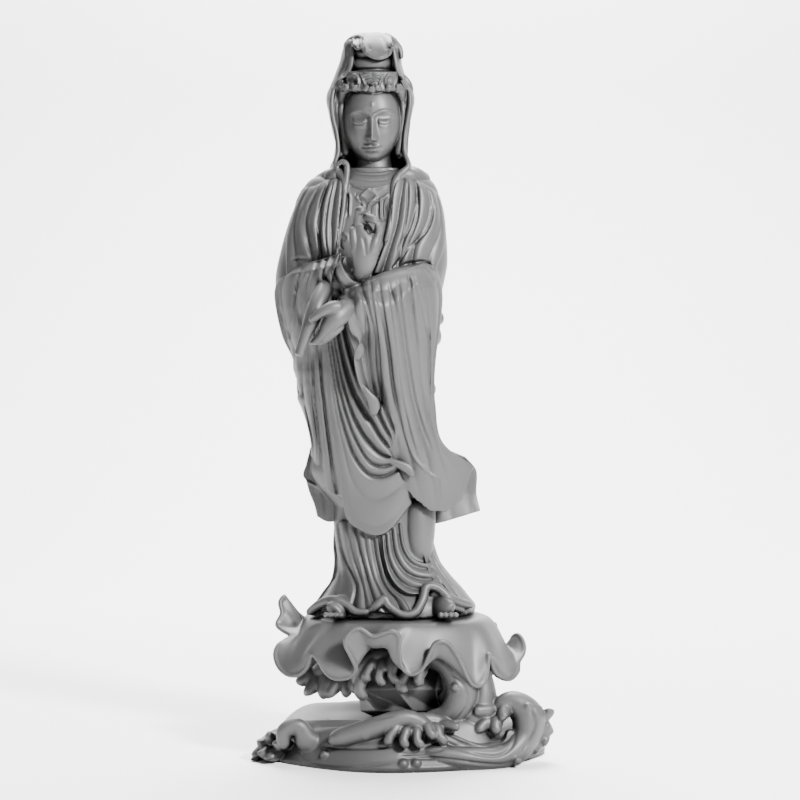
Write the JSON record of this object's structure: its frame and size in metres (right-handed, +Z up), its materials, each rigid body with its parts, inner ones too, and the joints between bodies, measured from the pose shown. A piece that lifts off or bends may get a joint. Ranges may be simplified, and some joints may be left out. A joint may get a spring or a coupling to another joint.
{
  "type": "guanyin figure on a lotus and wave plinth",
  "caption": "Standing robed and hooded guanyin with a raised hand and a tilted vase, on a curled lotus leaf held up by breaking waves.",
  "frame": {"origin": "middle of the plinth's flat underside, on the surface it stands on", "axes": "+Z up through the figure, -Y towards the viewer that the figure faces, +X to that viewer's right"},
  "size_m": [0.2478, 0.1782, 0.6007],
  "materials": {
    "cast_grey": "satin mid-grey cast resin, darker in its hollows and paler on its worn ridges"
  },
  "bodies": {
    "root": {"guanyin_figure": "cast_grey", "lotus_leaf_and_wave_plinth": "cast_grey"}
  },
  "joints": []
}
